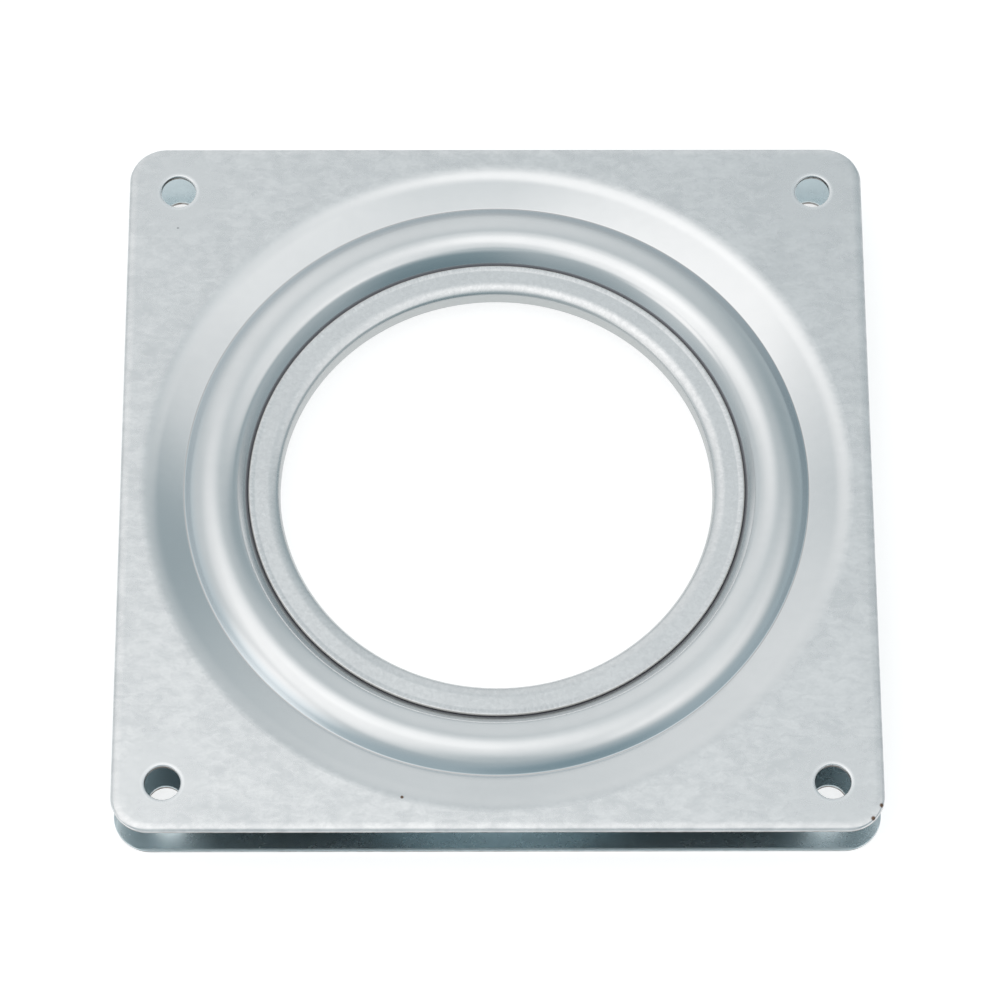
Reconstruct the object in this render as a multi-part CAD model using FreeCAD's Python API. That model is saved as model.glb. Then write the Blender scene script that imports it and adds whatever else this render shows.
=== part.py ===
"""Square lazy susan bearing: two pressed sheet plates turn on loose balls, held by one clinched ring.

Lengths are in millimetres and angles in degrees. +Z is up. The origin is the centre of the lower
plate's mounting face, so Z is the turning axis and the lower plate lies on Z = 0.
"""

import FreeCAD
import Part

import math
import os

# Square plates
plate_side = 101.6
plate_corner_radius = 5.0
sheet_thickness = 0.8
edge_roll_radius = 0.6

# Screw holes
hole_edge_distance = 6.8
hole_diameter = 4.76
hole_roll_radius = 0.2

# Dish pressed around the race
dish_margin = 1.5
dish_slope = 18.0
dish_shoulder_radius = 10.0
crease_depth = 1.85
crease_radius = 0.35

# Balls and the race pressed over them
ball_diameter = 6.35
ball_count = 30
ball_running_gap = 0.05
race_slack = 1.525
race_outer_slope = 43.0
race_brow_slope = 24.0
race_brow_radius = 2.0
race_brow_run = 0.1
race_inner_slope = 50.0
race_foot_radius = 0.3
crown_recess = 0.125

# Flat inner rims, trapped by the ring
rim_gap = 1.0
rim_clearance = 0.9

# Clinched ring
flange_width = 4.35
flange_clearance = 0.34
ring_thickness = 0.45
ring_roll_radius = 1.5
ring_running_gap = 0.1
ring_edge_radius = 0.2


def slope_run(rise, slope):
    """Return how far a slope runs sideways over a rise."""
    return rise / math.tan(math.radians(slope))


# Heights over the middle plane of the balls
face_height = ball_diameter / 2 + ball_running_gap + sheet_thickness + crown_recess
crease_height = face_height - crease_depth
rim_top = rim_gap / 2 + sheet_thickness
flange_top = rim_top + ring_running_gap + ring_thickness

# The race's outer flank and brow would meet in a corner above its round crown
race_top_radius = ball_diameter / 2 + race_slack + sheet_thickness
crown_half_turn = math.radians(race_outer_slope + race_brow_slope) / 2
crown_lean = math.radians(race_outer_slope - race_brow_slope) / 2
crown_reach = race_top_radius / math.cos(crown_half_turn)
crown_corner_height = ball_running_gap - race_slack + crown_reach * math.cos(crown_lean)

# The brow falls from the crown to the corner where the steeper inner flank starts
brow_turn = math.radians(race_inner_slope - race_brow_slope)
crown_share = race_top_radius * math.tan(crown_half_turn)
brow_share = race_brow_radius * math.tan(brow_turn / 2)
brow_length = crown_share + race_brow_run + brow_share
brow_drop = brow_length * math.sin(math.radians(race_brow_slope))
brow_height = crown_corner_height - brow_drop

# Radii of the section's corners, worked inwards from the plate's side
shoulder_reach = dish_shoulder_radius * math.tan(math.radians(dish_slope) / 2)
shoulder_corner = plate_side / 2 - dish_margin - shoulder_reach
crease_corner = shoulder_corner - slope_run(crease_depth, dish_slope)
crown_corner = crease_corner - slope_run(crown_corner_height - crease_height, race_outer_slope)
ball_circle_radius = crown_corner - crown_reach * math.sin(crown_lean)
brow_corner = crown_corner - slope_run(brow_drop, race_brow_slope)
foot_corner = brow_corner - slope_run(brow_height - rim_top, race_inner_slope)
flank_at_flange = foot_corner + slope_run(flange_top - rim_top, race_inner_slope)
flange_radius = flank_at_flange - flange_clearance
bore_radius = flange_radius - flange_width
rim_radius = bore_radius + ring_thickness + rim_clearance

axis = FreeCAD.Vector(0, 0, 1)
centre = FreeCAD.Vector(0, 0, 0)


def section_point(radius, height):
    """Return a point of a turned section in the XZ plane."""
    return FreeCAD.Vector(radius, 0, height)


def direction(start, end):
    """Return the unit vector from one point to another."""
    step = end - start
    return step / step.Length


def offset_corner(before, corner, after, distance):
    """Return where the two runs at a corner meet once both are moved sideways by a distance."""
    first = direction(before, corner)
    second = direction(corner, after)
    first_normal = FreeCAD.Vector(first.z, 0, -first.x)
    second_normal = FreeCAD.Vector(second.z, 0, -second.x)
    middle = first_normal + second_normal
    return corner + middle * (distance / (1 + first_normal.dot(second_normal)))


def offset_outline(points, distance):
    """Return a bent line's corners moved sideways by a distance, with its ends squared off."""
    extended = [points[0] * 2 - points[1]] + points + [points[-1] * 2 - points[-2]]
    triples = zip(extended, extended[1:], extended[2:])
    return [offset_corner(before, corner, after, distance) for before, corner, after in triples]


def bend_edges(points, radii):
    """Return straight runs joined by tangent arcs, with one radius for each inner corner."""
    edges = []
    start = points[0]
    for before, corner, after, radius in zip(points, points[1:], points[2:], radii):
        incoming = direction(before, corner)
        outgoing = direction(corner, after)
        half_turn = incoming.getAngle(outgoing) / 2
        reach = radius * math.tan(half_turn)
        arc_start = corner - incoming * reach
        arc_end = corner + outgoing * reach
        inward = outgoing - incoming
        to_centre = radius / math.cos(half_turn)
        arc_middle = corner + inward / inward.Length * (to_centre - radius)
        edges.append(Part.makeLine(start, arc_start))
        edges.append(Part.Arc(arc_start, arc_middle, arc_end).toShape())
        start = arc_end
    edges.append(Part.makeLine(start, points[-1]))
    return edges


def sheet_section(points, radii, thickness):
    """Return the section of a folded sheet from its outer line.

    The sheet lies on the right-hand side of the line. A positive radius is a bend whose centre is
    on the sheet's side, and a negative one is a bend whose centre is on the other side. Each radius
    is that of the outer line.
    """
    inner_points = offset_outline(points, thickness)
    inner_radii = [abs(radius - thickness) for radius in radii]
    outer_edges = bend_edges(points, [abs(radius) for radius in radii])
    inner_edges = bend_edges(inner_points, inner_radii)
    ends = [
        Part.makeLine(points[0], inner_points[0]),
        Part.makeLine(points[-1], inner_points[-1]),
    ]
    wire = Part.Wire(Part.__sortEdges__(outer_edges + inner_edges + ends))
    return Part.Face(wire)


def turned(section):
    """Return the solid swept by a section around the turning axis."""
    return section.revolve(centre, axis, 360)


def square_outline(side, corner_radius):
    """Return a centred square face with rounded corners on Z = 0."""
    corner = FreeCAD.Vector(-side / 2, -side / 2, 0)
    square = Part.makeBox(side, side, 1, corner)
    uprights = [edge for edge in square.Edges if abs(edge.BoundBox.ZLength - 1) < 0.01]
    rounded = square.makeFillet(corner_radius, uprights)
    return min(rounded.Faces, key=lambda face: face.CenterOfMass.z)


def plate_section():
    """Return the half section of the pressed plate above the middle plane, beyond its corners."""
    line = [
        section_point(rim_radius, rim_top),
        section_point(foot_corner, rim_top),
        section_point(brow_corner, brow_height),
        section_point(crown_corner, crown_corner_height),
        section_point(crease_corner, crease_height),
        section_point(shoulder_corner, face_height),
        section_point(plate_side, face_height),
    ]
    radii = [
        -race_foot_radius,
        race_brow_radius,
        race_top_radius,
        -crease_radius,
        dish_shoulder_radius,
    ]
    return sheet_section(line, radii, sheet_thickness)


def screw_hole(x, y):
    """Return the cutter of one punched hole, with its rolled-in upper edge."""
    hole_radius = hole_diameter / 2
    face = FreeCAD.Vector(x, y, face_height)
    drill = Part.makeCylinder(
        hole_radius, 3 * sheet_thickness, face - axis * 2 * sheet_thickness, axis
    )
    roll = Part.makeCylinder(
        hole_radius + hole_roll_radius, hole_roll_radius, face - axis * hole_roll_radius, axis
    )
    lip = Part.makeTorus(
        hole_radius + hole_roll_radius, hole_roll_radius, face - axis * hole_roll_radius, axis
    )
    return drill.fuse(roll.cut(lip))


def rolled_edges(plate):
    """Round the outer edge of the plate's mounting face."""
    outline = [
        edge
        for edge in plate.Edges
        if edge.BoundBox.ZMin > face_height - 0.01
        and math.hypot(edge.CenterOfMass.x, edge.CenterOfMass.y) > shoulder_corner
    ]
    return plate.makeFillet(edge_roll_radius, outline)


def upper_plate():
    """Return the upper pressing, with the middle plane of the balls at Z = 0."""
    blank = square_outline(plate_side, plate_corner_radius)
    column = blank.extrude(axis * 2 * face_height)
    plate = rolled_edges(turned(plate_section()).common(column))
    hole_place = plate_side / 2 - hole_edge_distance
    for x_side in (-1, 1):
        for y_side in (-1, 1):
            plate = plate.cut(screw_hole(x_side * hole_place, y_side * hole_place))
    return plate


def lower_plate():
    """Return the same pressing turned over."""
    plate = upper_plate()
    plate.rotate(centre, FreeCAD.Vector(1, 0, 0), 180)
    return plate


def clinch_ring():
    """Return the flared eyelet whose two flanges trap the inner rims of both plates."""
    line = [
        section_point(flange_radius, -flange_top),
        section_point(bore_radius, -flange_top),
        section_point(bore_radius, flange_top),
        section_point(flange_radius, flange_top),
    ]
    ring = turned(sheet_section(line, [ring_roll_radius, ring_roll_radius], ring_thickness))
    lips = [
        edge
        for edge in ring.Edges
        if edge.BoundBox.XMax > flange_radius - 0.01 and edge.BoundBox.ZLength < 0.01
    ]
    return ring.makeFillet(ring_edge_radius, lips)


def balls():
    """Return the loose balls by node name, evenly spread around the race."""
    solids = {}
    for index in range(ball_count):
        turn = math.radians(360 * index / ball_count)
        place = FreeCAD.Vector(math.cos(turn), math.sin(turn), 0) * ball_circle_radius
        solids[f"ball_{index + 1:02d}"] = Part.makeSphere(ball_diameter / 2, place)
    return solids


def export(name, solid):
    """Lift a solid so that the lower plate lies on Z = 0, and write it to its own file."""
    solid.translate(axis * face_height)
    solid.exportStep(f"parts/{name}.step")
    print(f"{name}: valid {solid.isValid()}, {solid.Volume:.1f} mm3")


def main():
    """Build every piece and write one file for each."""
    os.makedirs("parts", exist_ok=True)
    pieces = {
        "lower_plate": lower_plate(),
        "upper_plate": upper_plate(),
        "clinch_ring": clinch_ring(),
    }
    pieces.update(balls())
    for name, solid in pieces.items():
        export(name, solid)


main()
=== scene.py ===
"""Square turntable bearing in pale galvanised steel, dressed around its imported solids.

Two identical pressed plates lie face to face over a ring of loose balls, and a clinched ring
holds them. Named sizes are in millimetres and angles in degrees, and every mesh is in metres in the
solids' frame.
"""

import logging
import math
from dataclasses import dataclass
from enum import Enum, IntEnum

import bmesh
import bpy
from mathutils import Matrix, Vector


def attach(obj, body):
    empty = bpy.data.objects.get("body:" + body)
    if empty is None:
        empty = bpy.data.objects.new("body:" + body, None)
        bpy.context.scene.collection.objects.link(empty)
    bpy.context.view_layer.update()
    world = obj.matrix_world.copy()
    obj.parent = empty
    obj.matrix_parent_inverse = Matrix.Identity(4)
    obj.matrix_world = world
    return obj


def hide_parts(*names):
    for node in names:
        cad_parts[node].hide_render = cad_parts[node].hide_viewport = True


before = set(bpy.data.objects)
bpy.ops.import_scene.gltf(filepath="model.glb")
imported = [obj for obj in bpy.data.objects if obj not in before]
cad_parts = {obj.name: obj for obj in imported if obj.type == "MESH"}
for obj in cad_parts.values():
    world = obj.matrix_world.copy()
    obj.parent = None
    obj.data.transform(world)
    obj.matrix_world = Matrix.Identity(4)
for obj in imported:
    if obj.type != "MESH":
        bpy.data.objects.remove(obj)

MM = 0.001
FULL_TURN = 2 * math.pi

# Sizes that several pieces and their materials share
FACE_HEIGHT = 8.3
MIDDLE_HEIGHT = 4.15
HOLE_PLACE = 44.0
TURN_STEPS = 288

# Vertices closer than this are one
MERGE_DISTANCE = 0.002

# A vertex this close to a height lies on it, in metres
LEVEL_TOLERANCE = 1e-6

# Bevel setting that gives each new face the material of its neighbours
KEEP_SLOT = -1

Colour = tuple[float, float, float, float]

log = logging.getLogger("bearing")


class Side(Enum):
    """Which of the two plates a pressing is."""

    UPPER = "upper_plate"
    LOWER = "lower_plate"


class Slot(Enum):
    """The record's material slots."""

    PLATE = "plate_steel"
    RING = "ring_steel"
    BALL = "ball_steel"


class Skin(IntEnum):
    """Materials of a plate's mesh, in the order in which they are added."""

    SHEET = 0
    CUT = 1
    # The skin that faces the other plate, whose material paints the shade between the plates
    INSIDE = 2


@dataclass(frozen=True)
class Fold:
    """One bend of a sheet and the straight run after it, along the sheet's outer line.

    A positive turn bends to the left of the way the line runs, towards the sheet.
    """

    radius: float
    turn: float
    run: float
    steps: int


class SectionPen:
    """Draws the outline of a section as wire, the way a bent sheet runs."""

    def __init__(self, bm: bmesh.types.BMesh, start: Vector, heading: float) -> None:
        """Set the pen down.

        Args:
            bm: Mesh that takes the wire.
            start: First point, in metres.
            heading: Direction of travel in the XZ plane, in degrees from +X towards +Z.
        """
        self.bm = bm
        self.heading = heading
        self.tip = bmesh.ops.create_vert(bm, co=start)["vert"][0]
        self.drawn = [self.tip]

    def _pointing(self, degrees: float) -> Vector:
        """Return the unit vector at an angle in the XZ plane."""
        angle = math.radians(degrees)
        return Vector((math.cos(angle), 0, math.sin(angle)))

    def line(self, length: float) -> None:
        """Draw straight on.

        Args:
            length: How far, in millimetres.
        """
        made = bmesh.ops.extrude_vert_indiv(self.bm, verts=[self.tip])
        self.tip = made["verts"][0]
        step = self._pointing(self.heading) * length * MM
        bmesh.ops.translate(self.bm, verts=[self.tip], vec=step)
        self.drawn.append(self.tip)

    def arc(self, radius: float, turn: float, steps: int) -> None:
        """Draw a tangent arc.

        Args:
            radius: Radius of the arc, in millimetres.
            turn: Degrees turned, positive to the left of the way the pen goes.
            steps: Number of straight pieces in the arc.
        """
        side = math.copysign(90, turn)
        centre = self.tip.co + self._pointing(self.heading + side) * radius * MM
        before = set(self.bm.verts)
        made = bmesh.ops.spin(
            self.bm,
            geom=[self.tip],
            cent=centre,
            axis=(0, -1, 0),
            angle=math.radians(turn),
            steps=steps,
            use_duplicate=False,
        )
        self.tip = next(item for item in made["geom_last"] if isinstance(item, bmesh.types.BMVert))
        self.drawn += [vert for vert in self.bm.verts if vert not in before]
        self.heading += turn

    def wire(self) -> list:
        """Return every vertex and edge drawn so far."""
        edges = {edge for vert in self.drawn for edge in vert.link_edges}
        return self.drawn + list(edges)


def turn_section(pen: SectionPen, centre: Vector, steps: int) -> None:
    """Sweep a drawn section a full turn about an upright axis.

    Args:
        pen: Pen that drew the section.
        centre: A point of the axis, in metres.
        steps: Number of pieces in the turn.
    """
    bmesh.ops.spin(
        pen.bm,
        geom=pen.wire(),
        cent=centre,
        axis=(0, 0, 1),
        angle=FULL_TURN,
        steps=steps,
        use_merge=True,
        use_duplicate=False,
    )


def finished_object(name: str, bm: bmesh.types.BMesh, sharp_degrees: float) -> bpy.types.Object:
    """Close, orient and shade a mesh, and put it in the scene.

    Args:
        name: Name of the piece.
        bm: Mesh in metres, in the solids' frame. It is freed.
        sharp_degrees: Edges that turn more than this are drawn sharp.

    Returns:
        The new object, at the origin.
    """
    bmesh.ops.remove_doubles(bm, verts=bm.verts, dist=MERGE_DISTANCE * MM)
    bmesh.ops.recalc_face_normals(bm, faces=bm.faces)
    open_edges = sum(not edge.is_manifold for edge in bm.edges)
    if open_edges:
        log.warning("%s has %d open edges", name, open_edges)
    for edge in bm.edges:
        edge.smooth = edge.calc_face_angle(0) < math.radians(sharp_degrees)
    mesh = bpy.data.meshes.new(name)
    bm.to_mesh(mesh)
    bm.free()
    piece = bpy.data.objects.new(name, mesh)
    bpy.context.scene.collection.objects.link(piece)
    return piece


def placed(piece: bpy.types.Object, body: str, slot: Slot, *nodes: str) -> None:
    """Attach a piece to its body and let it stand for its solids.

    Args:
        piece: The finished piece.
        body: Body that carries it.
        slot: Material slot of the record; not used.
        nodes: Solids that it stands for.
    """
    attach(piece, body)
    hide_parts(*nodes)
    log.info("%s: %d faces, rides on %s", piece.name, len(piece.data.polygons), body)


class ShaderSheet:
    """A short hand for wiring a procedural metal."""

    def __init__(self, name: str) -> None:
        """Start a material.

        Args:
            name: Name of the material.
        """
        self.material = bpy.data.materials.new(name)
        self.material.use_nodes = True
        self.tree = self.material.node_tree
        self.shader = self.tree.nodes["Principled BSDF"]
        self.place = self.tree.nodes.new("ShaderNodeTexCoord").outputs["Object"]

    def feed(self, socket: bpy.types.NodeSocket, value) -> None:
        """Put a number or another node's output into a socket."""
        if isinstance(value, bpy.types.NodeSocket):
            self.tree.links.new(value, socket)
        else:
            socket.default_value = value

    def math(self, operation: str, first, second=0.0) -> bpy.types.NodeSocket:
        """Return the result of a math node."""
        node = self.tree.nodes.new("ShaderNodeMath")
        node.operation = operation
        self.feed(node.inputs[0], first)
        self.feed(node.inputs[1], second)
        return node.outputs[0]

    def without(self, mask: bpy.types.NodeSocket, share: float) -> bpy.types.NodeSocket:
        """Return 1 less a share of a mask."""
        return self.math("SUBTRACT", 1.0, self.math("MULTIPLY", mask, share))

    def centred(self, value: bpy.types.NodeSocket) -> bpy.types.NodeSocket:
        """Return a value of 0 to 1 moved to lie about 0."""
        return self.math("SUBTRACT", value, 0.5)

    def vector(self, operation: str, first, second=(0.0, 0.0, 0.0)) -> bpy.types.Node:
        """Return a vector math node."""
        node = self.tree.nodes.new("ShaderNodeVectorMath")
        node.operation = operation
        self.feed(node.inputs[0], first)
        self.feed(node.inputs[1], second)
        return node

    def weighed(self, *shares: tuple) -> bpy.types.NodeSocket:
        """Return the sum of outputs, each given with its weight."""
        total = None
        for value, weight in shares:
            part = self.math("MULTIPLY", value, weight)
            total = part if total is None else self.math("ADD", total, part)
        return total

    def ramp(
        self, value, low: float, high: float, to_low: float = 0.0, to_high: float = 1.0
    ) -> bpy.types.NodeSocket:
        """Return a value eased from one range to another, held at its ends."""
        node = self.tree.nodes.new("ShaderNodeMapRange")
        node.interpolation_type = "SMOOTHSTEP"
        for socket, number in zip(node.inputs[:5], (value, low, high, to_low, to_high)):
            self.feed(socket, number)
        return node.outputs[0]

    def stretched(
        self, scale: tuple[float, float, float], turn: float = 0.0
    ) -> bpy.types.NodeSocket:
        """Return the object's coordinates turned about Z and scaled."""
        node = self.tree.nodes.new("ShaderNodeMapping")
        self.feed(node.inputs["Vector"], self.place)
        node.inputs["Rotation"].default_value = (0, 0, math.radians(turn))
        node.inputs["Scale"].default_value = scale
        return node.outputs[0]

    def noise(
        self,
        scale: float,
        detail: float = 2.0,
        rough: float = 0.5,
        vector: bpy.types.NodeSocket | None = None,
        swirl: float = 0.0,
    ) -> bpy.types.NodeSocket:
        """Return noise whose features are about 1/scale metres across."""
        node = self.tree.nodes.new("ShaderNodeTexNoise")
        self.feed(node.inputs["Vector"], vector or self.place)
        node.inputs["Scale"].default_value = scale
        node.inputs["Detail"].default_value = detail
        node.inputs["Roughness"].default_value = rough
        node.inputs["Distortion"].default_value = swirl
        return node.outputs[0]

    def around(self, pitch: float) -> bpy.types.NodeSocket:
        """Return coordinates round the turning axis: turn times a pitch, reach and height."""
        apart = self.tree.nodes.new("ShaderNodeSeparateXYZ")
        self.feed(apart.inputs[0], self.place)
        turn = self.math("ARCTAN2", apart.outputs["Y"], apart.outputs["X"])
        together = self.tree.nodes.new("ShaderNodeCombineXYZ")
        self.feed(together.inputs["X"], self.math("MULTIPLY", turn, pitch))
        self.feed(together.inputs["Y"], self.reach())
        self.feed(together.inputs["Z"], apart.outputs["Z"])
        return together.outputs[0]

    def height(self) -> bpy.types.NodeSocket:
        """Return the height over the lower mounting face."""
        apart = self.tree.nodes.new("ShaderNodeSeparateXYZ")
        self.feed(apart.inputs[0], self.place)
        return apart.outputs["Z"]

    def reach(self) -> bpy.types.NodeSocket:
        """Return the distance from the turning axis."""
        flat = self.vector("MULTIPLY", self.place, (1, 1, 0))
        return self.vector("LENGTH", flat.outputs[0]).outputs["Value"]

    def square_reach(self) -> bpy.types.NodeSocket:
        """Return how far out a point lies on the square, whichever side it is nearest to."""
        apart = self.tree.nodes.new("ShaderNodeSeparateXYZ")
        self.feed(apart.inputs[0], self.vector("ABSOLUTE", self.place).outputs[0])
        return self.math("MAXIMUM", apart.outputs["X"], apart.outputs["Y"])

    def distance(
        self, point: tuple[float, float, float], all_quarters: bool = False
    ) -> bpy.types.NodeSocket:
        """Return the distance from a point, or from its mirrored twins in every quarter."""
        place = self.vector("ABSOLUTE", self.place).outputs[0] if all_quarters else self.place
        target = tuple(MM * value for value in point)
        return self.vector("DISTANCE", place, target).outputs["Value"]

    def blend(self, amount, first, second) -> bpy.types.NodeSocket:
        """Return a colour between two colours."""
        node = self.tree.nodes.new("ShaderNodeMix")
        node.data_type = "RGBA"
        self.feed(node.inputs["Factor"], amount)
        self.feed(node.inputs[6], first)
        self.feed(node.inputs[7], second)
        return node.outputs[2]

    def bump(self, height, depth: float) -> None:
        """Raise the surface by a height of 0 to 1 times a depth in millimetres."""
        node = self.tree.nodes.new("ShaderNodeBump")
        node.inputs["Strength"].default_value = 1.0
        node.inputs["Distance"].default_value = depth * MM
        self.feed(node.inputs["Height"], height)
        self.feed(self.shader.inputs["Normal"], node.outputs[0])


@dataclass(frozen=True)
class Spot:
    """A small stain or chip on the upper plate, in millimetres over the lower mounting face."""

    x: float
    y: float
    radius: float
    colour: Colour = (0.16, 0.10, 0.07, 1)
    z: float = FACE_HEIGHT


@dataclass(frozen=True)
class Scratch:
    """A short straight scuff on the upper plate's face, in millimetres and degrees."""

    x: float
    y: float
    length: float
    angle: float
    width: float = 0.12
    strength: float = 0.5


@dataclass(frozen=True)
class GalvanisedSheet:
    """Zinc-coated sheet: a soft wispy mottle on the flats, shinier where it has been drawn, with
    painted shade beside the crease, at the race's foot and in the gap under the ring, a painted
    highlight round each screw hole, and a thin dark line along the crease.
    """

    light: Colour = (0.765, 0.77, 0.775, 1)
    dark: Colour = (0.625, 0.638, 0.648, 1)
    # Lighter zinc of the scratches, and the painted highlight on each screw hole's rim
    scuff_and_rim_highlight: Colour = (0.86, 0.87, 0.88, 1)
    # Colour of the thin dark line along the crease
    crease_line_colour: Colour = (0.34, 0.30, 0.28, 1)
    # Colour of the painted shade, bluer, on the bank beside the crease
    painted_bank_shade: Colour = (0.59, 0.66, 0.70, 1)
    # Colour of the painted shade at the race's foot
    painted_foot_shade: Colour = (0.50, 0.54, 0.56, 1)
    # Colour of the painted shade in the gap under the ring
    painted_gap_shade: Colour = (0.20, 0.20, 0.22, 1)
    flat_from: float = 48.4
    flat_fade: float = 1.6
    edge_from: float = 50.35
    edge_fade: float = 0.25
    crease_at: float = 42.3
    foot_at: float = 34.1
    foot_fade: float = 1.2
    gap_shade_to: float = 34.0
    cloud_scale: float = 75
    wisp_scale: float = 540
    drift_scale: float = 210
    grain_scale: float = 2200
    contrast: tuple[float, float] = (0.28, 0.72)
    least_rough: float = 0.16
    relief: float = 0.012
    spots: tuple[Spot, ...] = ()
    scratches: tuple[Scratch, ...] = ()

    def material(self, name: str) -> bpy.types.Material:
        """Return the sheet's material.

        Args:
            name: Name of the material.

        Returns:
            A procedural metal that reads the object's own coordinates.
        """
        sheet = ShaderSheet(name)
        reach = sheet.reach()
        cloud = sheet.noise(self.cloud_scale, detail=3)
        flat = sheet.ramp(reach, (self.flat_from - self.flat_fade) * MM, self.flat_from * MM)
        pressed = sheet.distance((HOLE_PLACE, HOLE_PLACE, FACE_HEIGHT), all_quarters=True)
        mottle = self._mottle(sheet)
        pattern = self._pattern(sheet, mottle, flat, pressed, cloud)
        tone = sheet.blend(sheet.ramp(pattern, *self.contrast), self.light, self.dark)
        # A lighter ring on each screw hole's eased rim: painted highlight
        hole_rim_highlight = sheet.ramp(pressed, 2.75 * MM, 3.05 * MM, 0.35, 0.0)
        tone = self._painted_shade_and_crease_line(sheet, sheet.blend(hole_rim_highlight, tone, self.scuff_and_rim_highlight))
        tone = self._spotted(sheet, self._scratched(sheet, tone))
        # Dark, hardly metallic and rougher sheet inside the ring's lip: painted shade in the gap
        # under the ring
        gap_shade = sheet.ramp(reach, (self.gap_shade_to - 0.1) * MM, (self.gap_shade_to + 0.1) * MM, 1.0, 0.0)
        sheet.feed(sheet.shader.inputs["Base Color"], sheet.blend(gap_shade, tone, self.painted_gap_shade))
        sheet.feed(sheet.shader.inputs["Metallic"], sheet.without(gap_shade, 0.8))
        edge_to = self.edge_from + self.edge_fade
        edge = sheet.ramp(sheet.square_reach(), self.edge_from * MM, edge_to * MM)
        burnish = sheet.math("MULTIPLY", mottle, flat)
        rough = sheet.weighed(
            (cloud, 0.07), (burnish, 0.14), (edge, 0.36), (gap_shade, 0.3), (1.0, self.least_rough)
        )
        sheet.feed(sheet.shader.inputs["Roughness"], rough)
        sheet.bump(sheet.weighed((pattern, 1.0), (cloud, 2.0)), self.relief)
        return sheet.material

    def _mottle(self, sheet: ShaderSheet) -> bpy.types.NodeSocket:
        """Return the zinc's own figure, from 0 to 1: wisps, wider drifts and fine grain."""
        brushed = sheet.stretched((1, 1.6, 1), 8)
        wisps = sheet.noise(self.wisp_scale, detail=4, rough=0.56, vector=brushed, swirl=0.5)
        drifts = sheet.noise(self.drift_scale, detail=3)
        grain = sheet.noise(self.grain_scale)
        return sheet.weighed((wisps, 0.55), (drifts, 0.32), (grain, 0.13))

    def _pattern(
        self,
        sheet: ShaderSheet,
        mottle: bpy.types.NodeSocket,
        flat: bpy.types.NodeSocket,
        pressed: bpy.types.NodeSocket,
        cloud: bpy.types.NodeSocket,
    ) -> bpy.types.NodeSocket:
        """Return the pattern between light and dark zinc.

        Args:
            sheet: The sheet being wired.
            mottle: The zinc's own figure.
            flat: 1 on the flats and 0 in the dish.
            pressed: Distance from the nearest screw hole, where the mottle fades.
            cloud: Broad soft noise.

        Returns:
            The pattern, about 0.5 where the sheet is plain.
        """
        ragged = sheet.math("ADD", pressed, sheet.math("MULTIPLY", cloud, 7 * MM))
        open_field = sheet.math("MULTIPLY", flat, sheet.ramp(ragged, 6 * MM, 12 * MM))
        share = sheet.weighed((open_field, 0.85), (flat, 0.15), (cloud, 0.25))
        veil = sheet.math("MULTIPLY", sheet.centred(mottle), share)
        clouding = sheet.math("MULTIPLY", sheet.centred(cloud), 0.12)
        return sheet.math("ADD", sheet.math("ADD", veil, 0.5), clouding)

    def _painted_shade_and_crease_line(self, sheet: ShaderSheet, tone: bpy.types.NodeSocket) -> bpy.types.NodeSocket:
        """Paint a bluer shade on the bank beside the crease and shade at the race's foot, and draw
        a thin dark line along the crease.

        Args:
            sheet: The sheet being wired.
            tone: Colour of the clean sheet.

        Returns:
            The colour with the painted shade and the crease line.
        """
        reach = sheet.reach()
        at = self.crease_at
        # Bluer, darker bank on the race's flank beside the crease: painted shade
        bank = sheet.ramp(reach, (at - 1.8) * MM, (at - 0.5) * MM, 0.0, 0.75)
        within = sheet.ramp(reach, (at - 0.1) * MM, (at + 0.1) * MM, 1.0, 0.0)
        tone = sheet.blend(sheet.math("MULTIPLY", bank, within), tone, self.painted_bank_shade)
        # Darker sheet at the race's foot by the ring's lip: painted shade
        foot_to = self.foot_at + self.foot_fade
        foot_shade = sheet.ramp(reach, self.foot_at * MM, foot_to * MM, 0.85, 0.0)
        tone = sheet.blend(foot_shade, tone, self.painted_foot_shade)
        # A thin dark brownish line along the bottom of the crease
        crease = sheet.math("ABSOLUTE", sheet.math("SUBTRACT", reach, at * MM))
        return sheet.blend(sheet.ramp(crease, 0.03 * MM, 0.14 * MM, 0.45, 0.0), tone, self.crease_line_colour)

    def _scratched(self, sheet: ShaderSheet, tone: bpy.types.NodeSocket) -> bpy.types.NodeSocket:
        """Draw the scuffs over a tone.

        Args:
            sheet: The sheet being wired.
            tone: Colour under the scuffs.

        Returns:
            The scuffed colour.
        """
        for scratch in self.scratches:
            node = sheet.tree.nodes.new("ShaderNodeMapping")
            node.vector_type = "TEXTURE"
            sheet.feed(node.inputs["Vector"], sheet.place)
            middle = (scratch.x * MM, scratch.y * MM, FACE_HEIGHT * MM)
            half_size = (scratch.length * MM / 2, scratch.width * MM / 2, MM)
            node.inputs["Location"].default_value = middle
            node.inputs["Rotation"].default_value = (0, 0, math.radians(scratch.angle))
            node.inputs["Scale"].default_value = half_size
            away = sheet.vector("LENGTH", node.outputs[0]).outputs["Value"]
            scuff = sheet.ramp(away, 0.3, 1.0, scratch.strength, 0.0)
            tone = sheet.blend(scuff, tone, self.scuff_and_rim_highlight)
        return tone

    def _spotted(self, sheet: ShaderSheet, tone: bpy.types.NodeSocket) -> bpy.types.NodeSocket:
        """Draw the stains and chips over a tone.

        Args:
            sheet: The sheet being wired.
            tone: Colour under the spots.

        Returns:
            The spotted colour.
        """
        for spot in self.spots:
            away = sheet.distance((spot.x, spot.y, spot.z))
            mark = sheet.ramp(away, 0.4 * spot.radius * MM, spot.radius * MM, 1.0, 0.0)
            tone = sheet.blend(mark, tone, spot.colour)
        return tone


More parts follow.
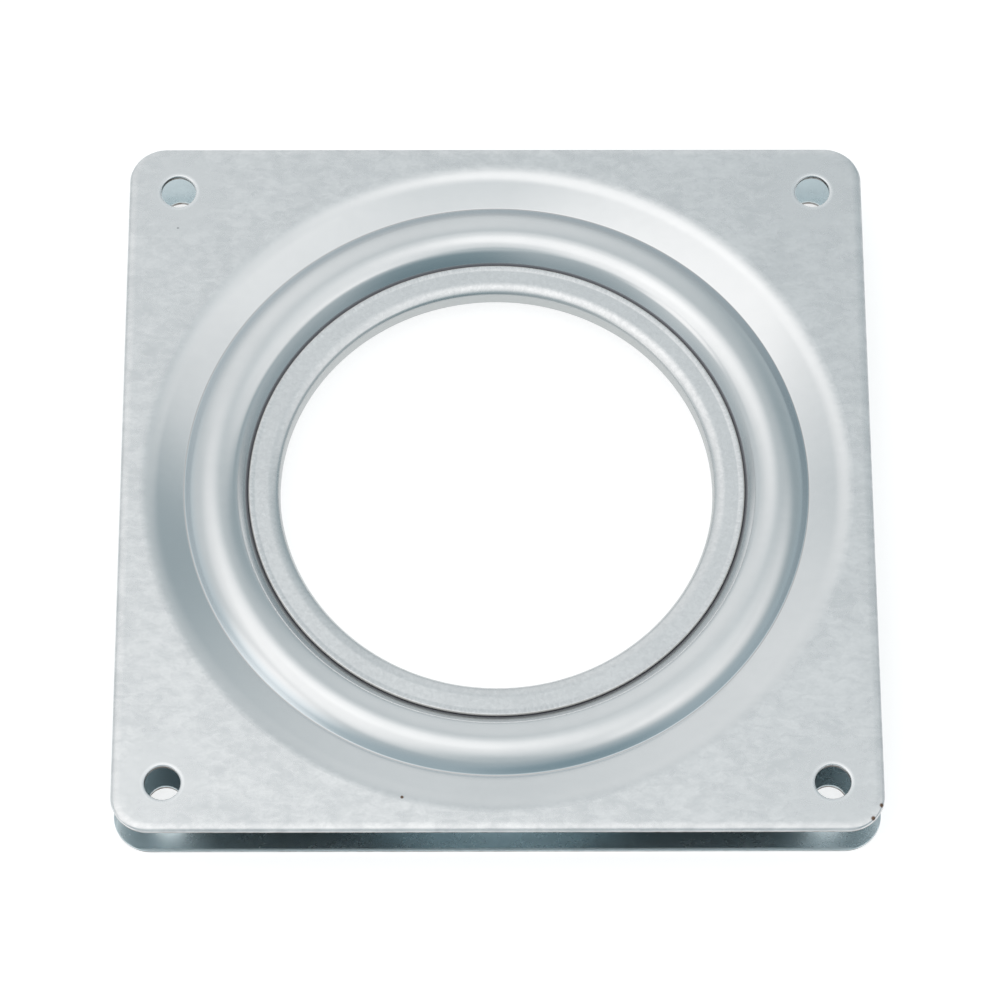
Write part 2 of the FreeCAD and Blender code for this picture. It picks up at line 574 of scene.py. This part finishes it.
@dataclass(frozen=True)
class CutEdge:
    """Bare sheared steel along a cut sheet, a little browned."""

    clean: Colour = (0.40, 0.40, 0.39, 1)
    browned: Colour = (0.22, 0.18, 0.16, 1)

    def material(self, name: str) -> bpy.types.Material:
        """Return the material of the sheared edge."""
        sheet = ShaderSheet(name)
        drag = sheet.noise(900, detail=3, vector=sheet.stretched((1, 1, 0.15)))
        tone = sheet.blend(sheet.ramp(drag, 0.35, 0.7), self.clean, self.browned)
        sheet.feed(sheet.shader.inputs["Base Color"], tone)
        sheet.shader.inputs["Metallic"].default_value = 1.0
        sheet.feed(sheet.shader.inputs["Roughness"], sheet.ramp(drag, 0.2, 0.8, 0.35, 0.55))
        sheet.bump(drag, 0.02)
        return sheet.material


@dataclass(frozen=True)
class DrawnRing:
    """Zinc-coated ring, wiped by the clinching tool on its lips; its bore is rougher and painted
    darker as shade.
    """

    light: Colour = (0.765, 0.77, 0.775, 1)
    dark: Colour = (0.62, 0.63, 0.64, 1)
    # Darker colour of the bore wall: painted shade
    painted_bore_shade: Colour = (0.50, 0.52, 0.52, 1)
    sheared: Colour = (0.66, 0.64, 0.61, 1)
    middle: float = MIDDLE_HEIGHT
    bore_half: float = 0.9
    lip_from: float = 32.6
    lip_fade: float = 0.6
    cut_from: float = 33.4
    cut_fade: float = 0.15
    contrast: tuple[float, float] = (0.28, 0.72)
    least_rough: float = 0.16
    relief: float = 0.006

    def material(self, name: str) -> bpy.types.Material:
        """Return the ring's material."""
        sheet = ShaderSheet(name)
        wisps = sheet.noise(1500, detail=4, rough=0.6, swirl=0.6)
        cloud = sheet.noise(120, detail=3)
        hatch = sheet.noise(1000, detail=2, vector=sheet.around(0.09))
        reach = sheet.reach()
        lip = sheet.ramp(reach, self.lip_from * MM, (self.lip_from + self.lip_fade) * MM)
        stroke = sheet.math("MULTIPLY", sheet.centred(hatch), lip)
        pattern = sheet.weighed((wisps, 0.5), (cloud, 0.2), (stroke, 0.7), (1.0, 0.15))
        tone = sheet.blend(sheet.ramp(pattern, *self.contrast), self.light, self.dark)
        # The bore wall between the flanges gets painted shade and more roughness
        away = sheet.math("ABSOLUTE", sheet.math("SUBTRACT", sheet.height(), self.middle * MM))
        bore = sheet.ramp(away, self.bore_half * MM, 2 * self.bore_half * MM, 1.0, 0.0)
        cut = sheet.ramp(reach, self.cut_from * MM, (self.cut_from + self.cut_fade) * MM)
        tone = sheet.blend(cut, sheet.blend(bore, tone, self.painted_bore_shade), self.sheared)
        sheet.feed(sheet.shader.inputs["Base Color"], tone)
        sheet.feed(sheet.shader.inputs["Metallic"], sheet.without(cut, 0.7))
        rough = sheet.weighed((wisps, 0.14), (bore, 0.12), (cut, 0.35), (1.0, self.least_rough))
        sheet.feed(sheet.shader.inputs["Roughness"], rough)
        sheet.bump(sheet.weighed((wisps, 1.0), (stroke, 1.2)), self.relief)
        return sheet.material


@dataclass(frozen=True)
class PolishedBall:
    """Hard polished ball steel under a film of oil."""

    steel: Colour = (0.72, 0.73, 0.75, 1)
    oiled: Colour = (0.60, 0.58, 0.54, 1)

    def material(self, name: str) -> bpy.types.Material:
        """Return the balls' material."""
        sheet = ShaderSheet(name)
        film = sheet.noise(260, detail=3)
        tone = sheet.blend(sheet.ramp(film, 0.4, 0.7), self.steel, self.oiled)
        sheet.feed(sheet.shader.inputs["Base Color"], tone)
        sheet.shader.inputs["Metallic"].default_value = 1.0
        sheet.feed(sheet.shader.inputs["Roughness"], sheet.ramp(film, 0.3, 0.7, 0.06, 0.16))
        return sheet.material


@dataclass
class PressedPlate:
    """One pressed sheet: square flat, four screw holes, dish, race and inner rim."""

    side: Side
    sheet: bpy.types.Material
    cut: bpy.types.Material
    # Material of the inner skin: the sheet painted darker and bluer as the shade between the plates
    inside: bpy.types.Material
    face_height: float = FACE_HEIGHT
    width: float = 101.6
    corner_radius: float = 5.0
    thickness: float = 0.8
    edge_roll: float = 0.45
    edge_ease: float = 0.85
    edge_slope: float = 12.0
    burr: float = 0.1
    hole_place: float = HOLE_PLACE
    hole_radius: float = 2.38
    hole_roll: float = 0.2
    hole_ease: float = 2.6
    hole_slope: float = 7.0
    hole_steps: int = 64
    dish_radius: float = 48.3
    rim_edge: float = 0.08
    folds: tuple[Fold, ...] = (
        Fold(6.5, 24, 3.485, 8),
        Fold(0.35, -67, 0.4585, 6),
        Fold(5.5, 67, 0.1, 26),
        Fold(2.0, 26, 2.03663, 8),
        Fold(0.3, -50, 2.7386, 6),
    )

    def build(self) -> bpy.types.Object:
        """Build the plate and let it stand for its solid.

        Returns:
            The finished piece.
        """
        bm = bmesh.new()
        self._dish(bm)
        self._outer_wall(bm)
        for x in (-self.hole_place, self.hole_place):
            for y in (-self.hole_place, self.hole_place):
                self._hole_wall(bm, x, y)
        self._flats(bm)
        if self.side is Side.LOWER:
            middle = Vector((0, 0, self.face_height * MM / 2))
            over = Matrix.Rotation(math.pi, 3, "X")
            bmesh.ops.rotate(bm, verts=bm.verts, cent=middle, matrix=over)
        piece = finished_object(f"{self.side.value}_pressing", bm, 35)
        for material in (self.sheet, self.cut, self.inside):
            piece.data.materials.append(material)
        self._mark_inside(piece)
        placed(piece, self.side.value, Slot.PLATE, self.side.value)
        return piece

    def _mark_inside(self, piece: bpy.types.Object) -> None:
        """Give the skin that faces the other plate its own material, a darker bluer copy of the
        sheet that paints the shade between the plates.
        """
        outwards = 1 if self.side is Side.UPPER else -1
        for face in piece.data.polygons:
            if face.material_index == Skin.SHEET and face.normal.z * outwards < -0.05:
                face.material_index = Skin.INSIDE

    def _dish(self, bm: bmesh.types.BMesh) -> None:
        """Turn the sheet between the flat and the rim, with both its skins and its cut rim."""
        start = Vector((self.dish_radius * MM, 0, self.face_height * MM))
        pen = SectionPen(bm, start, 180)
        for fold in self.folds:
            pen.arc(fold.radius, fold.turn, fold.steps)
            last = fold is self.folds[-1]
            pen.line(fold.run - self.rim_edge if last else fold.run)
        pen.arc(self.rim_edge, 90, 2)
        pen.line(self.thickness - 2 * self.rim_edge)
        pen.arc(self.rim_edge, 90, 2)
        for fold in reversed(self.folds):
            last = fold is self.folds[-1]
            pen.line(fold.run - self.rim_edge if last else fold.run)
            inner = fold.radius - math.copysign(self.thickness, fold.turn)
            pen.arc(inner, -fold.turn, fold.steps)
        turn_section(pen, Vector((0, 0, 0)), TURN_STEPS)
        for face in bm.faces:
            face.smooth = True

    def _outer_wall(self, bm: bmesh.types.BMesh) -> None:
        """Raise the rounded square edge, eased into the face above and finely burred below."""
        low = (self.face_height - self.thickness) * MM
        slope = math.radians(self.edge_slope)
        ease_radius = self.edge_ease / math.sin(slope)
        roll_rise = self.edge_roll * math.cos(slope)
        ease_rise = ease_radius * (1 - math.cos(slope))
        made = bmesh.ops.create_circle(
            bm,
            cap_ends=True,
            segments=4,
            radius=self.width * MM / math.sqrt(2),
            matrix=Matrix.Translation((0, 0, low)) @ Matrix.Rotation(math.pi / 4, 4, "Z"),
        )
        bmesh.ops.bevel(
            bm,
            geom=made["verts"],
            offset=self.corner_radius * MM,
            offset_type="OFFSET",
            segments=16,
            profile=0.5,
            affect="VERTICES",
            material=KEEP_SLOT,
        )
        base = max(bm.faces, key=lambda face: len(face.verts))
        raised = bmesh.ops.extrude_face_region(bm, geom=[base], use_keep_orig=True)
        top = next(item for item in raised["geom"] if isinstance(item, bmesh.types.BMFace))
        wall_height = self.thickness - roll_rise - ease_rise
        bmesh.ops.translate(bm, verts=top.verts, vec=(0, 0, wall_height * MM))
        for face in {face for edge in top.edges for face in edge.link_faces} - {top}:
            face.material_index = Skin.CUT
            face.smooth = True
        rolled = bmesh.ops.bevel(
            bm,
            geom=list(base.edges),
            offset=self.burr * MM,
            offset_type="OFFSET",
            segments=2,
            profile=0.5,
            affect="EDGES",
            material=Skin.SHEET,
        )
        for face in rolled["faces"]:
            face.smooth = True
        self._inset_along(bm, top, self.edge_roll, math.pi / 2, slope, 7)
        self._inset_along(bm, top, ease_radius, slope, 0.0, 5)
        caps = [face for face in bm.faces if len(face.verts) > 8]
        bmesh.ops.delete(bm, geom=caps, context="FACES_ONLY")

    def _inset_along(
        self,
        bm: bmesh.types.BMesh,
        top: bmesh.types.BMFace,
        radius: float,
        start: float,
        end: float,
        steps: int,
    ) -> None:
        """Draw the top face in and up along an arc.

        Args:
            bm: Mesh of the plate.
            top: Face that is drawn in.
            radius: Radius of the arc, in millimetres.
            start: Slope where the arc starts, in radians.
            end: Slope where it ends, in radians.
            steps: Number of rings in the arc.
        """
        slopes = [start + (end - start) * step / steps for step in range(steps + 1)]
        for steeper, flatter in zip(slopes, slopes[1:]):
            inwards = radius * (math.sin(steeper) - math.sin(flatter)) * MM
            upwards = radius * (math.cos(flatter) - math.cos(steeper)) * MM
            ring = bmesh.ops.inset_region(
                bm, faces=[top], thickness=inwards, use_even_offset=True, use_boundary=True
            )
            bmesh.ops.translate(bm, verts=top.verts, vec=(0, 0, upwards))
            for face in ring["faces"]:
                face.smooth = True
                face.material_index = Skin.SHEET

    def _hole_wall(self, bm: bmesh.types.BMesh, x: float, y: float) -> None:
        """Turn the wall of one punched hole, with its rolled-in upper edge eased into the face.

        Args:
            bm: Mesh of the plate.
            x: Place of the hole's centre across, in millimetres.
            y: Place of the hole's centre along, in millimetres.
        """
        before = set(bm.faces)
        low = self.face_height - self.thickness
        slope = math.radians(self.hole_slope)
        rise = self.burr + self.hole_roll * math.cos(slope) + self.hole_ease * (1 - math.cos(slope))
        start = Vector(((x + self.hole_radius + self.burr) * MM, y * MM, low * MM))
        pen = SectionPen(bm, start, 180)
        pen.arc(self.burr, -90, 2)
        pen.line(self.thickness - rise)
        pen.arc(self.hole_roll, self.hole_slope - 90, 4)
        pen.arc(self.hole_ease, -self.hole_slope, 4)
        turn_section(pen, Vector((x * MM, y * MM, 0)), self.hole_steps)
        for face in set(bm.faces) - before:
            face.smooth = True
            upright = abs(face.normal.z) < 0.02
            face.material_index = Skin.CUT if upright else Skin.SHEET

    def _flats(self, bm: bmesh.types.BMesh) -> None:
        """Fill the upper and lower skins of the flat between the dish, the holes and the edge."""
        for height in (self.face_height, self.face_height - self.thickness):
            there = {vert for vert in bm.verts if abs(vert.co.z - height * MM) < LEVEL_TOLERANCE}
            rims = [edge for edge in bm.edges if edge.is_boundary and there.issuperset(edge.verts)]
            filled = bmesh.ops.triangle_fill(bm, use_beauty=True, edges=rims, normal=(0, 0, 1))
            for item in filled["geom"]:
                if isinstance(item, bmesh.types.BMFace):
                    item.smooth = False


@dataclass
class ClinchRing:
    """The flared ring whose two flanges trap the rims of both plates."""

    steel: bpy.types.Material
    middle: float = MIDDLE_HEIGHT
    flat_height: float = 1.81
    bore_radius: float = 29.3315
    flange_width: float = 4.26
    thickness: float = 0.45
    brow: float = 3.2
    brow_turn: float = 22.0
    roll: float = 0.9
    edge: float = 0.21
    flare: float = 7.0
    flare_width: float = 0.7
    flare_bend: float = 1.5

    def build(self) -> bpy.types.Object:
        """Build the ring and let it stand for its solid.

        Returns:
            The finished piece.
        """
        bm = bmesh.new()
        flare = math.radians(self.flare)
        bend_run = self.flare_bend * math.sin(flare)
        lip_run = self.flare_width - self.edge
        brow_turn = math.radians(self.brow_turn)
        bend_reach = self.brow * math.sin(brow_turn) + self.roll * (1 - math.sin(brow_turn))
        bend_drop = self.brow * (1 - math.cos(brow_turn)) + self.roll * math.cos(brow_turn)
        flat = self.flange_width - bend_reach - self.edge - lip_run * math.cos(flare) - bend_run
        upright = 2 * (self.flat_height - bend_drop)
        inner_brow = self.brow - self.thickness
        inner_roll = self.roll - self.thickness
        roll_turn = 90 - self.brow_turn
        lip_rise = lip_run * math.sin(flare) + self.flare_bend * (1 - math.cos(flare))
        outer = self.bore_radius + self.flange_width - self.edge
        start = Vector((outer * MM, 0, (self.middle + self.flat_height + lip_rise) * MM))
        pen = SectionPen(bm, start, 180 + self.flare)
        pen.line(lip_run)
        pen.arc(self.flare_bend, -self.flare, 3)
        pen.line(flat)
        pen.arc(self.brow, self.brow_turn, 6)
        pen.arc(self.roll, roll_turn, 10)
        pen.line(upright)
        pen.arc(self.roll, roll_turn, 10)
        pen.arc(self.brow, self.brow_turn, 6)
        pen.line(flat)
        pen.arc(self.flare_bend, -self.flare, 3)
        pen.line(lip_run)
        self._lip(pen)
        pen.line(lip_run)
        pen.arc(self.flare_bend + self.thickness, self.flare, 3)
        pen.line(flat)
        pen.arc(inner_brow, -self.brow_turn, 4)
        pen.arc(inner_roll, -roll_turn, 6)
        pen.line(upright)
        pen.arc(inner_roll, -roll_turn, 6)
        pen.arc(inner_brow, -self.brow_turn, 4)
        pen.line(flat)
        pen.arc(self.flare_bend + self.thickness, self.flare, 3)
        pen.line(lip_run)
        self._lip(pen)
        turn_section(pen, Vector((0, 0, 0)), TURN_STEPS)
        for face in bm.faces:
            face.smooth = True
        piece = finished_object("clinch_ring_drawn", bm, 50)
        piece.data.materials.append(self.steel)
        placed(piece, "clinch_ring", Slot.RING, "clinch_ring")
        return piece

    def _lip(self, pen: SectionPen) -> None:
        """Draw the rounded cut edge of a flange."""
        pen.arc(self.edge, 90, 4)
        pen.line(self.thickness - 2 * self.edge)
        pen.arc(self.edge, 90, 4)


@dataclass
class BallSet:
    """The loose balls between the two races."""

    steel: bpy.types.Material
    count: int = 30
    diameter: float = 6.35
    circle_radius: float = 38.0061
    height: float = MIDDLE_HEIGHT

    def build(self) -> list[bpy.types.Object]:
        """Build every ball and let each stand for its solid.

        Returns:
            The finished pieces.
        """
        return [self._ball(index) for index in range(self.count)]

    def _ball(self, index: int) -> bpy.types.Object:
        """Build one ball of the set."""
        turn = FULL_TURN * index / self.count
        across = self.circle_radius * math.cos(turn)
        along = self.circle_radius * math.sin(turn)
        centre = Matrix.Translation(Vector((across, along, self.height)) * MM)
        bm = bmesh.new()
        bmesh.ops.create_uvsphere(
            bm, u_segments=40, v_segments=20, radius=self.diameter * MM / 2, matrix=centre
        )
        for face in bm.faces:
            face.smooth = True
        node = f"ball_{index + 1:02d}"
        piece = finished_object(f"{node}_polished", bm, 60)
        piece.data.materials.append(self.steel)
        placed(piece, "ball_set", Slot.BALL, node)
        return piece


def towards(azimuth: float, zenith: float) -> Vector:
    """Return the unit vector of a direction, with the azimuth counted from +Y towards +X."""
    around, down = math.radians(azimuth), math.radians(zenith)
    across = math.sin(around) * math.sin(down)
    along = math.cos(around) * math.sin(down)
    return Vector((across, along, math.cos(down)))


@dataclass(frozen=True)
class SoftBox:
    """A soft round lamp that faces the bearing, placed by the way it is seen from there.

    Its diameter and distance are in metres.
    """

    name: str
    azimuth: float
    zenith: float
    diameter: float
    radiance: float
    distance: float = 0.6
    warmth: tuple[float, float, float] = (1.0, 0.95, 0.92)

    def build(self) -> bpy.types.Object:
        """Hang the lamp.

        Returns:
            The lamp.
        """
        out = towards(self.azimuth, self.zenith)
        lamp = bpy.data.lights.new(self.name, "AREA")
        lamp.shape = "DISK"
        lamp.size = self.diameter
        lamp.energy = self.radiance * math.pi * math.pi * self.diameter**2 / 4
        lamp.color = self.warmth
        box = bpy.data.objects.new(self.name, lamp)
        bpy.context.scene.collection.objects.link(box)
        box.location = out * self.distance
        box.rotation_euler = out.to_track_quat("Z", "Y").to_euler()
        return box


@dataclass(frozen=True)
class Glow:
    """A broad soft brightening of the tent around the table, or a darkening where it is below 0."""

    azimuth: float
    zenith: float
    spread: float
    radiance: float


@dataclass
class Studio:
    """White table, soft lamps in a pale tent and the camera of the photograph."""

    focal_pixels: float = 4824.2
    distance: float = 651.5
    elevation: float = 65.15
    yaw: float = -0.832
    roll: float = -0.682
    aside: float = -0.49
    above: float = 2.92
    target_height: float = FACE_HEIGHT
    frame_pixels: float = 1000.0
    sensor: float = 36.0
    tent: tuple[float, float, float] = (0.497, 0.568, 0.595)
    glow_tint: tuple[float, float, float] = (1.085, 0.98, 0.935)
    paper: float = 0.5
    paper_glow: float = 0.70
    boxes: tuple[SoftBox, ...] = (
        SoftBox("overhead_box", 300, 8.1, 0.26, 0.19),
        SoftBox("broad_box", 191, 9.3, 1.03, 0.18, 0.75),
    )
    glows: tuple[Glow, ...] = (
        Glow(246, 58, 21, 0.59),
        Glow(352, 57, 42, 0.32),
        Glow(96, 26, 36, 0.62),
        Glow(265, 19, 37, 0.42),
        Glow(281, 62, 68, 0.21),
        Glow(160, 78, 35, -0.22),
        Glow(92, 14, 26, -0.27),
        Glow(61, 44, 40, -0.10),
        Glow(172, 26, 22, -0.13),
    )

    def camera(self) -> bpy.types.Object:
        """Set up the camera at the photograph's angle and frame.

        Returns:
            The camera.
        """
        tilt = math.radians(self.elevation)
        yaw = math.radians(self.yaw)
        roll = math.radians(self.roll)
        level = math.cos(tilt)
        back = Vector((math.sin(yaw) * level, -math.cos(yaw) * level, math.sin(tilt)))
        right = Vector((math.cos(yaw), math.sin(yaw), 0))
        up = back.cross(right)
        place = back * self.distance - right * self.aside - up * self.above
        place += Vector((0, 0, self.target_height))
        across = right * math.cos(roll) - up * math.sin(roll)
        upright = right * math.sin(roll) + up * math.cos(roll)
        lens = bpy.data.cameras.new("photo_camera")
        lens.sensor_width = self.sensor
        lens.lens = self.focal_pixels * self.sensor / self.frame_pixels
        lens.clip_start = 0.01
        lens.clip_end = 20.0
        camera = bpy.data.objects.new("photo_camera", lens)
        turned = Matrix((across, upright, back)).transposed().to_4x4()
        camera.matrix_world = Matrix.Translation(place * MM) @ turned
        bpy.context.scene.collection.objects.link(camera)
        bpy.context.scene.camera = camera
        return camera

    def floor(self) -> bpy.types.Object:
        """Lay the white table.

        Returns:
            The table top, which isn't part of the bearing.
        """
        bm = bmesh.new()
        bmesh.ops.create_grid(bm, x_segments=1, y_segments=1, size=4.0)
        mesh = bpy.data.meshes.new("white_table")
        bm.to_mesh(mesh)
        bm.free()
        table = bpy.data.objects.new("white_table", mesh)
        bpy.context.scene.collection.objects.link(table)
        mesh.materials.append(self._paper())
        return table

    def _paper(self) -> bpy.types.Material:
        """Return a matt paper that is white in view and keeps the shadow."""
        material = bpy.data.materials.new("white_paper")
        material.use_nodes = True
        tree = material.node_tree
        shader = tree.nodes["Principled BSDF"]
        shader.inputs["Base Color"].default_value = (self.paper, self.paper, self.paper, 1)
        shader.inputs["Roughness"].default_value = 0.9
        shader.inputs["Specular IOR Level"].default_value = 0.1
        path = tree.nodes.new("ShaderNodeLightPath")
        seen = tree.nodes.new("ShaderNodeMath")
        seen.operation = "MAXIMUM"
        tree.links.new(path.outputs["Is Camera Ray"], seen.inputs[0])
        tree.links.new(path.outputs["Is Glossy Ray"], seen.inputs[1])
        glow = tree.nodes.new("ShaderNodeMath")
        glow.operation = "MULTIPLY"
        tree.links.new(seen.outputs[0], glow.inputs[0])
        glow.inputs[1].default_value = self.paper_glow
        shader.inputs["Emission Color"].default_value = (1, 1, 1, 1)
        tree.links.new(glow.outputs[0], shader.inputs["Emission Strength"])
        return material

    def light(self) -> None:
        """Hang the lamps in their pale tent."""
        world = bpy.data.worlds.new("pale_tent")
        world.use_nodes = True
        tree = world.node_tree
        ground = tree.nodes["Background"]
        direction = tree.nodes.new("ShaderNodeTexCoord").outputs["Generated"]
        total = None
        for glow in self.glows:
            facing = tree.nodes.new("ShaderNodeVectorMath")
            facing.operation = "DOT_PRODUCT"
            tree.links.new(direction, facing.inputs[0])
            facing.inputs[1].default_value = towards(glow.azimuth, glow.zenith)
            eased = tree.nodes.new("ShaderNodeMapRange")
            eased.interpolation_type = "SMOOTHSTEP"
            tree.links.new(facing.outputs["Value"], eased.inputs["Value"])
            eased.inputs["From Min"].default_value = math.cos(math.radians(glow.spread))
            eased.inputs["To Max"].default_value = glow.radiance
            if total is None:
                total = eased.outputs[0]
            else:
                added = tree.nodes.new("ShaderNodeMath")
                tree.links.new(total, added.inputs[0])
                tree.links.new(eased.outputs[0], added.inputs[1])
                total = added.outputs[0]
        tinted = tree.nodes.new("ShaderNodeVectorMath")
        tinted.operation = "MULTIPLY_ADD"
        tree.links.new(total, tinted.inputs[0])
        tinted.inputs[1].default_value = self.glow_tint
        tinted.inputs[2].default_value = self.tent
        tree.links.new(tinted.outputs[0], ground.inputs["Color"])
        ground.inputs["Strength"].default_value = 1.0
        bpy.context.scene.world = world
        for box in self.boxes:
            box.build()

    def build(self) -> None:
        """Set up the table, the lamps, the camera and the plain view."""
        self.floor()
        self.light()
        self.camera()
        bpy.context.scene.view_settings.view_transform = "Standard"


def main() -> None:
    """Dress the bearing and set up the studio."""
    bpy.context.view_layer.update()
    white = (0.9, 0.9, 0.9, 1)
    spots = (
        Spot(-12.56, -46.09, 0.30),
        Spot(-43.95, 38.30, 0.22, (0.42, 0.43, 0.44, 1)),
        Spot(50.30, -47.32, 0.40, z=8.15),
        Spot(49.15, -49.15, 0.42, z=8.2),
        Spot(-7.02, 37.80, 0.16, white, 7.9),
    )
    scratches = (
        Scratch(-31.6, 36.9, 1.6, 62),
        Scratch(-30.8, 35.9, 0.9, 118, strength=0.35),
        Scratch(-37.3, 34.4, 1.1, 20, strength=0.4),
        Scratch(6.4, 49.6, 2.6, 12, strength=0.3),
        Scratch(50.1, 36.6, 1.5, 92),
        Scratch(49.2, 30.1, 1.6, 155, strength=0.45),
        Scratch(-9.6, -49.4, 1.3, 96, strength=0.3),
        Scratch(-7.4, -49.6, 0.9, 84, strength=0.35),
        Scratch(-37.2, 35.4, 0.9, 62),
        Scratch(-37.1, 33.7, 0.7, 75, strength=0.4),
        Scratch(-32.1, 39.3, 1.6, 18, 0.28, 0.3),
        Scratch(-33.9, 36.6, 1.1, 160, strength=0.35),
        Scratch(4.8, 48.9, 2.2, 4, strength=0.3),
        Scratch(14.5, 49.4, 1.8, 174, strength=0.25),
        Scratch(26.5, -45.2, 2.5, 30, 0.3, 0.22),
        Scratch(33.0, -43.5, 2.0, 165, 0.3, 0.2),
    )
    sheet = GalvanisedSheet(spots=spots, scratches=scratches).material("galvanised_sheet")
    plain = GalvanisedSheet().material("galvanised_sheet_plain")
    # Darker, bluer copy of the sheet for the inner skins: painted shade between the plates
    painted_shade_sheet = GalvanisedSheet(light=(0.66, 0.735, 0.76, 1), dark=(0.60, 0.67, 0.695, 1))
    inside = painted_shade_sheet.material("galvanised_sheet_inside_painted_shade")
    cut = CutEdge().material("sheared_edge")
    PressedPlate(Side.LOWER, plain, cut, inside).build()
    PressedPlate(Side.UPPER, sheet, cut, inside).build()
    ClinchRing(DrawnRing().material("drawn_ring_steel")).build()
    balls = BallSet(PolishedBall().material("polished_ball_steel")).build()
    log.info("%d balls", len(balls))
    Studio().build()


if __name__ == "__main__":
    logging.basicConfig(level=logging.INFO)
    main()
